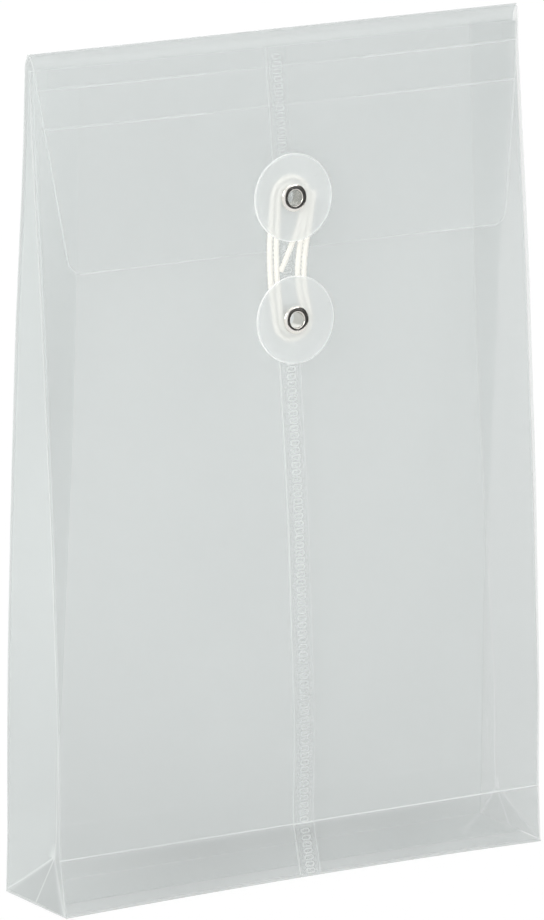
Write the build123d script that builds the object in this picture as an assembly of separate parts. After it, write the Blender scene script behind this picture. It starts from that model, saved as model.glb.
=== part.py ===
from build123d import *
import math
import os

# A gusseted plastic envelope that stands on its opened base, tied shut with a string.
# Millimetres, +Z up, the front faces -Y, and the origin is the middle of the base on the table.

# Envelope, outside sizes
WIDTH = 158.75
HEIGHT = 244.0
BASE_DEPTH = 33.0
FILM = 0.4

# Top fold and the closed flap, dropped from the top of the fold along the front
FRONT_REACH = 1.7
FLAP_CLEARANCE = 0.4
FOLD_CLEARANCE = 0.1
MOUTH_DROP = 4.8
FLAP_DROP = 62.3
FLAP_SIDE_INSET = 8.6
FLAP_CORNER_RADIUS = 4.0
UPPER_SCORE_DROP = 10.1
LOWER_SCORE_DROP = 21.2
SCORE_GAP = 0.1

# Front seam, foot strips and base flaps
SEAM_LAP = 7.0
SEAM_EDGE_GAP = 0.1
FOOT_HEIGHT = 16.2
FOOT_CLEARANCE = 0.05
BASE_INNER_REACH = 22.0

# Side gussets
CREASE_GAP = 0.3
GUSSET_SECTIONS = 9

# Tie buttons and their eyelets
BUTTON_DIAMETER = 25.0
BUTTON_THICKNESS = 0.9
BUTTON_EDGE_RADIUS = 0.25
BUTTON_BORE_CLEARANCE = 0.06
BUTTON_FLANGE_GAP = 0.05
UPPER_BUTTON_EDGE_DISTANCE = 15.1
BUTTON_SPACING = 34.9
EYELET_BORE_RADIUS = 2.3
EYELET_WALL = 0.35
EYELET_FLANGE_RADIUS = 4.0
EYELET_FLANGE_HEIGHT = 0.75
EYELET_CLINCH_RADIUS = 3.7
EYELET_CLINCH_HEIGHT = 0.6
FILM_HOLE_CLEARANCE = 0.02

# Tie string, wound in one flat spiral round both eyelets
STRING_DIAMETER = 1.5
STRING_BARREL_GAP = 0.35
STRING_TURN_GAP = 0.5
STRING_BUTTON_GAP = 0.35
STRING_FLAP_GAP = 0.6
STRING_FALL = 0.85
STRING_TURNS = 2
STRING_TAIL_END = (-1.5, -21.0)
STRING_TUCKED_END = 1.0

# Distances of the film layers from the fold line, to the middle of each layer: the flap clears
# the seam's second layer and the clinched rim of its own eyelet
FLAP_REACH = FRONT_REACH + 2 * FILM + EYELET_CLINCH_HEIGHT + FLAP_CLEARANCE
BACK_REACH = FLAP_REACH + FILM + FOLD_CLEARANCE

# Faces of the layers, out of the fold line along each panel's z
FRONT_INNER = FRONT_REACH - FILM / 2
FRONT_OUTER = FRONT_REACH + FILM / 2
LAP_OUTER = FRONT_OUTER + FILM
FLAP_INNER = FLAP_REACH - FILM / 2
FLAP_OUTER = FLAP_REACH + FILM / 2
BACK_INNER = BACK_REACH - FILM / 2
BACK_OUTER = BACK_REACH + FILM / 2

# Fold line, and eyelet sizes that other pieces fit
FOLD_TOP = BACK_OUTER
FOLD_LINE_Z = HEIGHT - FOLD_TOP
EYELET_BARREL_RADIUS = EYELET_BORE_RADIUS + EYELET_WALL
FILM_HOLE_RADIUS = EYELET_BARREL_RADIUS + FILM_HOLE_CLEARANCE

# Levels over the table
BASE_INNER_TOP = 2 * FILM
FRONT_REST_Z = FILM + FOOT_CLEARANCE
BACK_REST_Z = BASE_INNER_TOP + FOOT_CLEARANCE


def lean_and_length(outer, rest_z):
    """Lean in radians and length of a panel whose outermost layer ends at the base's edge."""
    drop = FOLD_LINE_Z - rest_z
    span = math.hypot(BASE_DEPTH / 2, drop)
    lean = math.atan2(BASE_DEPTH / 2, drop) - math.asin(outer / span)
    return lean, math.sqrt(span**2 - outer**2)


FRONT_LEAN, FRONT_LENGTH = lean_and_length(LAP_OUTER, FRONT_REST_Z)
BACK_LEAN, BACK_LENGTH = lean_and_length(BACK_OUTER, BACK_REST_Z)

# Panel frames: origin on the fold line, y up along the panel, z out of the envelope
FOLD_LINE = (0, 0, FOLD_LINE_Z)
FRONT = Plane(
    origin=FOLD_LINE,
    x_dir=(1, 0, 0),
    z_dir=(0, -math.cos(FRONT_LEAN), math.sin(FRONT_LEAN)),
)
BACK = Plane(
    origin=FOLD_LINE,
    x_dir=(-1, 0, 0),
    z_dir=(0, math.cos(BACK_LEAN), math.sin(BACK_LEAN)),
)

# Heights along the front, from the fold line
MOUTH_Y = FOLD_TOP - MOUTH_DROP
FRONT_SCORE_Y = FOOT_HEIGHT - FRONT_LENGTH
BACK_SCORE_Y = FOOT_HEIGHT - BACK_LENGTH
UPPER_BUTTON_Y = FOLD_TOP - FLAP_DROP + UPPER_BUTTON_EDGE_DISTANCE
LOWER_BUTTON_Y = UPPER_BUTTON_Y - BUTTON_SPACING

# Levels of the winding at the two eyelets, and undersides of the buttons over it
UPPER_STRING_Z = FLAP_OUTER + STRING_FLAP_GAP + STRING_DIAMETER / 2
LOWER_STRING_Z = UPPER_STRING_Z - STRING_FALL
STRING_HALF_ROOM = STRING_DIAMETER / 2 + STRING_BUTTON_GAP
UPPER_BUTTON_Z = UPPER_STRING_Z + STRING_HALF_ROOM
LOWER_BUTTON_Z = LOWER_STRING_Z + STRING_HALF_ROOM


def plate(frame, outline, inner_level):
    """Film cut to an outline in a panel's frame, with its inner face at the given level."""
    sheet = extrude(make_face(Polyline(*outline, close=True)), FILM)
    return frame.location * (Pos(0, 0, inner_level) * sheet)


def rectangle(x_low, x_high, y_low, y_high):
    """Corners of a rectangle."""
    return [(x_low, y_low), (x_high, y_low), (x_high, y_high), (x_low, y_high)]


def film_hole(y, level):
    """Cutter for an eyelet's hole through the film near a level of the front."""
    hole = Cylinder(FILM_HOLE_RADIUS, 4 * FILM)
    return FRONT.location * (Pos(0, y, level) * hole)


def left_front(y_low, y_high):
    """Left part of the front, which runs under the seam."""
    return plate(FRONT, rectangle(-WIDTH / 2, SEAM_LAP / 2, y_low, y_high), FRONT_INNER)


def right_front(y_low, y_high):
    """Right part of the front, stepped up over the left part along the seam."""
    step_x = SEAM_LAP / 2 + SEAM_EDGE_GAP
    section = Polyline(
        (-SEAM_LAP / 2, FRONT_OUTER),
        (step_x, FRONT_OUTER),
        (step_x, FRONT_INNER),
        (WIDTH / 2, FRONT_INNER),
        (WIDTH / 2, FRONT_OUTER),
        (step_x + FILM, FRONT_OUTER),
        (step_x + FILM, LAP_OUTER),
        (-SEAM_LAP / 2, LAP_OUTER),
        close=True,
    )
    sheet = extrude(Plane.XZ * make_face(section), y_high - y_low, dir=(0, 1, 0))
    return FRONT.location * (Pos(0, y_low, 0) * sheet)


def flap_half_width(drop):
    """Half width of the tapered flap at a drop from the top of the fold."""
    return WIDTH / 2 - FLAP_SIDE_INSET * drop / FLAP_DROP


def flap_strip(drop_high, drop_low):
    """Tapered strip of the flap between two drops."""
    high = flap_half_width(drop_high)
    low = flap_half_width(drop_low)
    y_high = FOLD_TOP - drop_high
    y_low = FOLD_TOP - drop_low
    outline = [(-low, y_low), (low, y_low), (high, y_high), (-high, y_high)]
    return plate(FRONT, outline, FLAP_INNER)


def flap_panel():
    """Long lower part of the flap, with rounded corners and the upper eyelet's hole."""
    panel = flap_strip(LOWER_SCORE_DROP + SCORE_GAP / 2, FLAP_DROP)
    lower_corners = panel.edges().filter_by(Axis(FOLD_LINE, FRONT.z_dir)).group_by(Axis.Z)[0]
    panel = fillet(lower_corners, FLAP_CORNER_RADIUS)
    return panel - film_hole(UPPER_BUTTON_Y, FLAP_REACH)


def quarter_fold(frame, reach):
    """Quarter round of film over the fold line, from a panel's plane to the top."""
    ring = Circle(reach + FILM / 2) - Circle(reach - FILM / 2)
    quarter = ring & (Pos(reach, reach) * Rectangle(2 * reach, 2 * reach))
    roll = extrude(Plane.YZ * quarter, WIDTH / 2, both=True)
    return frame.location * roll


def inner_face_y(z):
    """World y of the front and back panels' inner faces at a height."""
    drop = FOLD_LINE_Z - z
    front = -(FRONT_INNER / math.cos(FRONT_LEAN) + math.tan(FRONT_LEAN) * drop)
    back = BACK_INNER / math.cos(BACK_LEAN) + math.tan(BACK_LEAN) * drop
    return front, back


def half_opening(z):
    """Half of the clear depth between the panels at a height."""
    front, back = inner_face_y(z)
    return (back - front) / 2


GUSSET_FOOT_Z = BACK_REST_Z
GUSSET_TOP_Z = (FRONT.location * Pos(0, MOUTH_Y, FRONT_INNER)).position.Z - FOOT_CLEARANCE
GUSSET_HALF_WIDTH = half_opening(GUSSET_FOOT_Z)


def gusset_heights():
    """Heights of the gusset's sections, evenly spaced round the quarter ellipse of its crease."""
    top_turn = math.acos(half_opening(GUSSET_TOP_Z) / GUSSET_HALF_WIDTH)
    closing = (GUSSET_HALF_WIDTH - half_opening(GUSSET_TOP_Z)) / (GUSSET_TOP_Z - GUSSET_FOOT_Z)
    heights = []
    for index in range(GUSSET_SECTIONS):
        opening = GUSSET_HALF_WIDTH * math.cos(top_turn * index / (GUSSET_SECTIONS - 1))
        heights.append(GUSSET_FOOT_Z + (GUSSET_HALF_WIDTH - opening) / closing)
    return heights


def gusset_section(z, towards_front):
    """Section of one half of the left gusset, from its panel to the crease pushed in between."""
    front, back = inner_face_y(z)
    opening = half_opening(z)
    depth = math.sqrt(max(GUSSET_HALF_WIDTH**2 - opening**2, 0))
    thickness = FILM * GUSSET_HALF_WIDTH / opening
    crease_y = (front + back) / 2
    if towards_front:
        panel_y = front
        crease_y -= CREASE_GAP / 2
    else:
        panel_y = back
        crease_y += CREASE_GAP / 2
    side_x = -WIDTH / 2
    outline = Polyline(
        (side_x, panel_y, z),
        (side_x + thickness, panel_y, z),
        (side_x + depth + thickness, crease_y, z),
        (side_x + depth, crease_y, z),
        close=True,
    )
    return make_face(outline)


def gusset_half(towards_front):
    """One half of the left gusset, whose crease sinks in as the panels close."""
    sections = [gusset_section(z, towards_front) for z in gusset_heights()]
    return loft(sections, ruled=True)


def base_flap(y_low, z_low):
    """Flap of film across the base, from a line to the back edge."""
    depth = BASE_DEPTH / 2 - y_low
    return Pos(0, y_low + depth / 2, z_low + FILM / 2) * Box(WIDTH, depth, FILM)


def button(y, underside):
    """Flat tie button with a bore that turns on its eyelet."""
    disc = extrude(Circle(BUTTON_DIAMETER / 2), BUTTON_THICKNESS)
    disc = fillet(disc.edges().filter_by(GeomType.CIRCLE), BUTTON_EDGE_RADIUS)
    bore = Cylinder(EYELET_BARREL_RADIUS + BUTTON_BORE_CLEARANCE, 4 * BUTTON_THICKNESS)
    return FRONT.location * (Pos(0, y, underside) * (disc - bore))


def eyelet(y, film_inner, button_underside):
    """Hollow eyelet: rolled flange over the button, barrel, and clinched rim behind the film."""
    flange_under = button_underside + BUTTON_THICKNESS + BUTTON_FLANGE_GAP
    rim_under = film_inner - EYELET_CLINCH_HEIGHT
    crown_radius = (EYELET_BORE_RADIUS + EYELET_FLANGE_RADIUS) / 2
    lip = flange_under + EYELET_WALL
    crown = flange_under + EYELET_FLANGE_HEIGHT
    rim_middle = (EYELET_BORE_RADIUS + EYELET_CLINCH_RADIUS) / 2
    profile = Line((EYELET_BORE_RADIUS, rim_under + EYELET_WALL), (EYELET_BORE_RADIUS, lip))
    profile += ThreePointArc(profile @ 1, (crown_radius, crown), (EYELET_FLANGE_RADIUS, flange_under))
    profile += Polyline(
        (EYELET_FLANGE_RADIUS, flange_under),
        (EYELET_BARREL_RADIUS, flange_under),
        (EYELET_BARREL_RADIUS, film_inner),
        (EYELET_CLINCH_RADIUS, film_inner),
    )
    profile += ThreePointArc(
        (EYELET_CLINCH_RADIUS, film_inner),
        (rim_middle, rim_under),
        (EYELET_BORE_RADIUS, rim_under + EYELET_WALL),
    )
    ring = revolve(Plane.XZ * make_face(profile), Axis.Z)
    return FRONT.location * (Pos(0, y, 0) * ring)


def string_frame():
    """Plane of the winding: origin on the upper eyelet, y up towards it from the lower one."""
    upper = Vector(0, UPPER_BUTTON_Y, UPPER_STRING_Z)
    lower = Vector(0, LOWER_BUTTON_Y, LOWER_STRING_Z)
    up = upper - lower
    tilted = Plane(origin=upper, x_dir=(1, 0, 0), z_dir=Vector(1, 0, 0).cross(up))
    return FRONT.location * tilted.location, up.length


def tangent_turn(radius_before, radius_after, rise):
    """Angle in degrees at which a run on the right touches its two turns of the spiral."""
    return -math.degrees(math.asin((radius_after - radius_before) / rise))


def turn(centre_y, radius, start, end):
    """Counterclockwise arc round an eyelet, in quarter and half turns, between two angles."""
    return CenterArc((0, centre_y), radius, start, end - start)


def on_turn(centre_y, radius, angle):
    """Point of a turn at an angle in degrees."""
    turned = math.radians(angle)
    return (radius * math.cos(turned), centre_y + radius * math.sin(turned))


def string_route(rise):
    """Flat spiral of the string: tail, turns round both eyelets, and the tucked end."""
    radius = EYELET_BARREL_RADIUS + STRING_BARREL_GAP + STRING_DIAMETER / 2
    pitch = STRING_DIAMETER + STRING_TURN_GAP
    tail_span = math.hypot(*STRING_TAIL_END)
    tail_angle = math.degrees(math.atan2(STRING_TAIL_END[1], STRING_TAIL_END[0]))
    entry = tail_angle + math.degrees(math.acos(radius / tail_span))
    pieces = [Line(STRING_TAIL_END, on_turn(0, radius, entry))]
    for _ in range(STRING_TURNS):
        leave = tangent_turn(radius, radius + pitch, rise)
        pieces.append(turn(0, radius, entry, 180))
        pieces.append(Line((-radius, 0), (-radius, -rise)))
        pieces.append(turn(-rise, radius, 180, 360 + leave))
        foot = on_turn(-rise, radius, leave)
        radius += pitch
        entry = leave
        pieces.append(Line(foot, on_turn(0, radius, entry)))
    last_run = pieces.pop()
    end = last_run @ 1 + (last_run % 1) * STRING_TUCKED_END
    pieces.append(Line(last_run @ 0, end))
    return pieces


def least_self_gap(route, spacing=0.5):
    """Least clear gap of the tube to itself, measured on points along the route."""
    points = []
    travelled = 0
    for piece in route:
        count = max(2, round(piece.length / spacing))
        for index in range(count):
            points.append((travelled + piece.length * index / count, piece @ (index / count)))
        travelled += piece.length
    apart = 4 * STRING_DIAMETER
    gaps = []
    for first, (first_along, first_point) in enumerate(points):
        for second_along, second_point in points[first + 1:]:
            if second_along - first_along > apart:
                gaps.append((first_point - second_point).length)
    return min(gaps) - STRING_DIAMETER


def tie_string():
    """String swept along its winding, with its measured gap, length and volume."""
    frame, rise = string_frame()
    route = string_route(rise)
    path = Wire(route)
    section = Plane(origin=path @ 0, z_dir=path % 0) * Circle(STRING_DIAMETER / 2)
    tube = sweep(section, path=path)
    expected = math.pi * STRING_DIAMETER**2 / 4 * path.length
    print(f"string: length {path.length:.1f}, least gap to itself {least_self_gap(route):.3f}")
    print(f"string: volume {tube.volume:.2f}, section times length {expected:.2f}")
    return frame * tube


def build_parts():
    """All sub-parts by node name."""
    lower_hole = film_hole(LOWER_BUTTON_Y, FRONT_OUTER)
    left_gusset_front = gusset_half(True)
    left_gusset_back = gusset_half(False)
    side = WIDTH / 2
    upper_score = (UPPER_SCORE_DROP - SCORE_GAP / 2, UPPER_SCORE_DROP + SCORE_GAP / 2)
    lower_score_top = LOWER_SCORE_DROP - SCORE_GAP / 2
    return {
        "back_panel": plate(BACK, rectangle(-side, side, BACK_SCORE_Y, 0), BACK_INNER),
        "back_foot": plate(BACK, rectangle(-side, side, -BACK_LENGTH, BACK_SCORE_Y), BACK_INNER),
        "back_top_fold": quarter_fold(BACK, BACK_REACH),
        "left_gusset_back": left_gusset_back,
        "right_gusset_back": mirror(left_gusset_back, about=Plane.YZ),
        "base_outer_flap": base_flap(-BASE_DEPTH / 2, 0),
        "base_inner_flap": base_flap(BASE_DEPTH / 2 - BASE_INNER_REACH, FILM),
        "front_left_panel": left_front(FRONT_SCORE_Y, MOUTH_Y) - lower_hole,
        "front_right_panel": right_front(FRONT_SCORE_Y, MOUTH_Y) - lower_hole,
        "front_left_foot": left_front(-FRONT_LENGTH, FRONT_SCORE_Y),
        "front_right_foot": right_front(-FRONT_LENGTH, FRONT_SCORE_Y),
        "left_gusset_front": left_gusset_front,
        "right_gusset_front": mirror(left_gusset_front, about=Plane.YZ),
        "lower_eyelet": eyelet(LOWER_BUTTON_Y, FRONT_INNER, LOWER_BUTTON_Z),
        "flap_top_fold": quarter_fold(FRONT, FLAP_REACH),
        "flap_top_strip": flap_strip(FOLD_TOP, upper_score[0]),
        "flap_middle_strip": flap_strip(upper_score[1], lower_score_top),
        "flap_panel": flap_panel(),
        "upper_eyelet": eyelet(UPPER_BUTTON_Y, FLAP_INNER, UPPER_BUTTON_Z),
        "tie_string": tie_string(),
        "upper_button": button(UPPER_BUTTON_Y, UPPER_BUTTON_Z),
        "lower_button": button(LOWER_BUTTON_Y, LOWER_BUTTON_Z),
    }


os.makedirs("parts", exist_ok=True)
for node, shape in build_parts().items():
    export_step(shape, f"parts/{node}.step")
print(f"front lean {math.degrees(FRONT_LEAN):.3f}, back lean {math.degrees(BACK_LEAN):.3f} degrees")
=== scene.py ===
"""String tie envelope in frosted film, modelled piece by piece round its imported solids."""
import math

import bpy
from bpy.props import FloatProperty, FloatVectorProperty, IntProperty, PointerProperty
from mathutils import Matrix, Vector


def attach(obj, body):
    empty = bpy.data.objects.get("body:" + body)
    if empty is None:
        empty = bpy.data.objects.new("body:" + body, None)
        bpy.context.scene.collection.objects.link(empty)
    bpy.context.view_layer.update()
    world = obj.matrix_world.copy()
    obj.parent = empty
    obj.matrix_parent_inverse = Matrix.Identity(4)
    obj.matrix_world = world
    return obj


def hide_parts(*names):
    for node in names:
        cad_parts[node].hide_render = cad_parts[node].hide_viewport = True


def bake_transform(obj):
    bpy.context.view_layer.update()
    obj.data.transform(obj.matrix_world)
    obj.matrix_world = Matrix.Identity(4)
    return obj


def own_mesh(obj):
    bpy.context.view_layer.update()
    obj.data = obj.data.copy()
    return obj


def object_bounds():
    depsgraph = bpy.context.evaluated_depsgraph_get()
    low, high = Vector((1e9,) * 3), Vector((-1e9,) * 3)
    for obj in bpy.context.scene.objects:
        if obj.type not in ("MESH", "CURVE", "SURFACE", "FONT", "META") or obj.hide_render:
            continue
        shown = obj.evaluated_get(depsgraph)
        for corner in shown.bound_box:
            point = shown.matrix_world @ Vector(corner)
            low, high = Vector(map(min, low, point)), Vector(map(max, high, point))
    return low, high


bl_info = {
    "name": "String Tie Envelope",
    "version": (1, 0, 0),
    "blender": (4, 5, 0),
    "location": "View3D > Sidebar > Envelope",
    "description": "Gusseted film envelope tied with a string, modelled piece by piece",
    "category": "Object",
}

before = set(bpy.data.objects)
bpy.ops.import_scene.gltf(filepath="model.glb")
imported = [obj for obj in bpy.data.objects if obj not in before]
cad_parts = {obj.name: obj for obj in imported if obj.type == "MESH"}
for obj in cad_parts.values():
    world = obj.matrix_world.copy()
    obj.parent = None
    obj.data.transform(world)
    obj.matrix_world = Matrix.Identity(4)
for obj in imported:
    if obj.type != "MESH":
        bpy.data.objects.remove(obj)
CAD_LOW, CAD_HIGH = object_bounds()
CAD_SIZE = CAD_HIGH - CAD_LOW

# One millimetre of the part's source, in metres
MM = 0.001
FRONT_SIDE = -1
BACK_SIDE = 1

# Spacing of the film's loops, from large panels to tight rounds
PANEL_STEP = 4 * MM
STRIP_STEP = 3 * MM
BASE_WIDTH_STEP = 2 * MM
BASE_DEPTH_STEP = 1.2 * MM
GUSSET_STEP = 0.7 * MM
FLAP_ROUND_STEP = 0.6 * MM
ROUND_STEP = 0.5 * MM
# Loops and points that lie closer than this are made one
LEAST_LOOP_GAP = 0.04 * MM
LEAST_POINT_GAP = 0.002 * MM
SMOOTH_ANGLE = math.radians(40)

# How white creases and cut edges have gone, from 0 to 1
FRONT_FOLD_WHITE = 0.35
FRONT_SCORE_WHITE = 0.6
FRONT_FOOT_WHITE = 0.25
SEAM_EDGE_WHITE = 0.55
LINK_WHITE = 0.4
MOUTH_WHITE = 0.1
BACK_EDGE_WHITE = 0.3
BACK_SCORE_WHITE = 0.2
BACK_FOOT_WHITE = 0.1
FLAP_SIDE_WHITE = 0.4
FLAP_SCORE_WHITE = 0.3
FLAP_EDGE_WHITE = 0.4
GUSSET_EDGE_WHITE = 0.2
GUSSET_CREASE_WHITE = 0.4
FAN_CREASE_WHITE = 0.5
FAN_SIDE_WHITE = 0.55
BASE_EDGE_WHITE = 0.25
BASE_FOLD_WHITE = 0.1
BASE_CREASE_WHITE = 0.3
# Widths of the whitened lines on gussets and base, as shares of a plain crease's
GUSSET_BREADTH = 1.2
BASE_BREADTH = 2.0

# Kinds of film: material, setting of its cover, lightness, and its share of that high up. The gussets'
# and the base's lightness and the left gusset's lighter top are painted light and shade, lit and shaded
# copies of one film.
FILMS = {
    "front": ("frosted_film", "film_cover", 1.0, 1.0),
    "back": ("hazy_back_film", "back_cover", 1.0, 1.0),
    "left_gusset": ("lit_gusset_film", "gusset_cover", 0.99, 1.2),
    "right_gusset": ("hazy_gusset_film", "gusset_cover", 0.88, 1.0),
    "base": ("shaded_base_film", "back_cover", 0.86, 1.0),
}
# Tones of the film: painted shade low down, in the front foot and in the fans, and the lighter tone
# where it is cloudy
LOW_SHADE_TONE = 0.91
FOOT_SHADE_TONE = 0.58
FAN_SHADE_TONE = 0.71
CLOUD_TONE = 1.04
PLASTIC_IOR = 1.49

# Soft lights: name, place, width and height in metres, and watts
LIGHTS = (
    ("key_light", (-2.0, -1.0, 1.3), (1.4, 1.4), 34),
    ("side_light", (1.2, -1.6, 1.1), (1.0, 1.4), 11),
    ("top_light", (-0.2, 0.1, 2.3), (1.6, 1.6), 10),
    ("back_light", (0.5, 2.2, 1.4), (1.6, 1.6), 24),
)
WORLD_STRENGTH = 0.51
# Share of plain white in the table as the camera sees it, which leaves a soft shadow
TABLE_WHITE = 0.95


def length(name, description, millimetres):
    """Property for a length, given in millimetres."""
    return FloatProperty(
        name=name, description=description, default=millimetres * MM, unit="LENGTH", precision=5
    )


def share(name, description, value):
    """Property for a share between 0 and 1."""
    return FloatProperty(
        name=name, description=description, default=value, min=0, max=1, subtype="FACTOR"
    )


def colour(name, description, value):
    """Property for a colour, as linear red, green and blue."""
    return FloatVectorProperty(
        name=name, description=description, default=value, size=3, min=0, max=1, subtype="COLOR"
    )


class EnvelopeSizes(bpy.types.PropertyGroup):
    """Sizes of the folded film, as in the part's source, and its soft departures from flat."""

    width: length("Width", "Width over the side folds", CAD_SIZE.x / MM)
    height: length("Height", "Height to the top of the fold", CAD_SIZE.z / MM)
    base_depth: length("Base depth", "Depth of the opened base", CAD_SIZE.y / MM)
    film: length("Film", "Thickness of the film", 0.4)
    front_reach: length("Front reach", "Fold line to the middle of the front's film", 1.7)
    clinch: length("Clinch", "Height of an eyelet's clinched rim", 0.6)
    flap_clearance: length("Flap clearance", "Room between the clinched rim and the seam", 0.4)
    fold_clearance: length("Fold clearance", "Room between the two layers of the top fold", 0.1)
    foot_clearance: length("Foot clearance", "Room between a foot and the base under it", 0.05)
    mouth_drop: length("Mouth drop", "Top of the fold to the mouth's edge", 4.8)
    flap_drop: length("Flap drop", "Top of the fold to the flap's lower edge", 62.3)
    flap_inset: length("Flap inset", "How far the flap tapers in at each side", 8.6)
    flap_corner: length("Flap corner", "Radius of the flap's lower corners", 4.0)
    upper_score: length("Upper score", "Top of the fold to the flap's upper score", 10.1)
    lower_score: length("Lower score", "Top of the fold to the flap's lower score", 21.2)
    seam_lap: length("Seam lap", "Width of the welded overlap down the front", 7.0)
    seam_drift: length("Seam drift", "How far the seam strays to the left at the mouth", 1.6)
    foot_height: length("Foot height", "Height of the strips below the front's score", 16.2)
    base_inner_reach: length("Inner base reach", "Depth of the inner base flap", 22.0)
    fan_height: length("Fan height", "Height of the folded fan at a gusset's foot", 13.2)
    front_bow: length("Front bow", "How far the front pillows out below the tie", 2.2)
    back_bow: length("Back bow", "How far the back pillows out", 2.2)
    right_swell: length("Right swell", "How far the right side fold curves out", 1.9)
    left_swell: length("Left swell", "How far the left side fold curves out", 0.7)
    foot_flare: length("Foot flare", "How far the front foot swings out at its middle", 2.0)
    left_flare: length("Left flare", "How far the front foot swings out at its left corner", 2.0)
    foot_lift: length("Foot lift", "How far the foot's middle stands off the table", 1.8)
    left_lift: length("Left lift", "How far the foot's left corner stands off the table", 0.7)
    fold_pinch: length("Fold pinch", "How far each side of the top fold is pinched in at its ends", 2.0)
    crease_width: length("Crease width", "Half width of a whitened crease or cut edge", 0.42)
    score_groove: length("Score groove", "Depth of the flap's pressed scores", 0.12)
    link_pitch: length("Link pitch", "Spacing of the welded links down the seam", 2.1)
    link_width: length("Link width", "Width of a welded link", 3.1)
    link_height: length("Link height", "Height of a welded link along the seam", 1.75)
    link_relief: length("Link relief", "How far a welded link stands up", 0.08)


class TieSizes(bpy.types.PropertyGroup):
    """Sizes of the buttons, eyelets and string, as in the part's source."""

    button_diameter: length("Button", "Diameter of a tie button", 25.0)
    button_thickness: length("Button thickness", "Thickness of a tie button", 0.9)
    button_edge: length("Button edge", "Rounding of a button's rim", 0.25)
    button_bore_gap: length("Bore gap", "Room between a button and its eyelet", 0.06)
    flange_gap: length("Flange gap", "Room between a button and the flange over it", 0.05)
    upper_button_edge: length("Upper button", "Flap's lower edge to the upper button's axis", 15.1)
    button_spacing: length("Spacing", "Upper button's axis to the lower one's", 34.9)
    bore: length("Bore", "Radius of an eyelet's bore", 2.3)
    wall: length("Wall", "Thickness of an eyelet's metal", 0.35)
    flange: length("Flange", "Radius of an eyelet's rolled flange", 4.0)
    flange_height: length("Flange height", "Height of the rolled flange", 0.75)
    clinch_radius: length("Clinch radius", "Radius of the clinched rim", 3.7)
    string_diameter: length("String", "Diameter of the string's route in the part", 1.5)
    string_body: length("String body", "Diameter of the soft twisted string", 1.7)
    barrel_gap: length("Barrel gap", "Room between an eyelet and the first turn", 0.35)
    turn_gap: length("Turn gap", "Room between turns side by side", 0.5)
    button_gap: length("Button gap", "Room between the string and the button over it", 0.35)
    flap_gap: length("Flap gap", "Room between the string and the flap", 0.6)
    string_fall: length("String fall", "How far the winding comes in at the lower eyelet", 0.85)
    tail_x: length("Tail across", "Free end, across from the eyelets' line", -3.5)
    tail_y: length("Tail down", "Free end, down from the upper eyelet", -20.9)
    tail_bend_x: length("Tail bend across", "Bend of the tail, across from the eyelets' line", 2.9)
    tail_bend_y: length("Tail bend down", "Bend of the tail, down from the upper eyelet", -9.0)
    left_slack: length("Left slack", "How far the left runs stand out of straight", 1.2)
    right_slack: length("Right slack", "How far the right runs are drawn in", 2.6)
    tucked: length("Tucked end", "How far the fixed end runs on under the upper button", 1.0)
    twist: length("Twist", "Length of one twist of the strands", 5.0)
    strands: IntProperty(name="Strands", description="Strands twisted together", default=4)


class Finishes(bpy.types.PropertyGroup):
    """Colours and clearness of the materials."""

    film: colour("Film", "Frosted film", (0.582, 0.612, 0.605))
    film_cover: share("Film cover", "How much one face of the film hides", 0.30)
    gusset_cover: share("Gusset cover", "How much one face of a gusset hides", 0.50)
    back_cover: share("Back cover", "How much one face of the hazier back hides", 0.62)
    light_passed: share("Light passed", "Share of the light it stops that plastic passes on", 0.85)
    metal_passed: share("Metal passed", "Share of the light that is let past an eyelet", 0.75)
    string_passed: share("String passed", "Share of the light that is let past the string", 0.95)
    crease: colour("Crease", "Stress-whitened creases and cut edges", (0.86, 0.88, 0.87))
    crease_cover: share("Crease cover", "How much a whitened crease hides", 0.8)
    button: colour("Button", "Frosted clear plastic of the buttons", (0.90, 0.915, 0.91))
    button_clearness: share("Button clearness", "How much a button lets through", 0.84)
    # A button's bright rim is a painted highlight
    rim_cover: share("Rim cover", "How much the bright rim of a button hides", 0.55)
    nickel: colour("Nickel", "Plated metal of the eyelets", (0.74, 0.72, 0.68))
    string: colour("String", "Bleached cotton", (0.87, 0.86, 0.80))
    floor: colour("Floor", "Table under the envelope", (0.93, 0.93, 0.93))
    card: colour("Card", "Dark card that the metal mirrors", (0.02, 0.02, 0.02))


def clamp(value):
    """Value kept between 0 and 1."""
    return max(0.0, min(1.0, value))


def ease(value):
    """Smooth step from 0 to 1."""
    value = clamp(value)
    return value * value * (3 - 2 * value)


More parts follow.
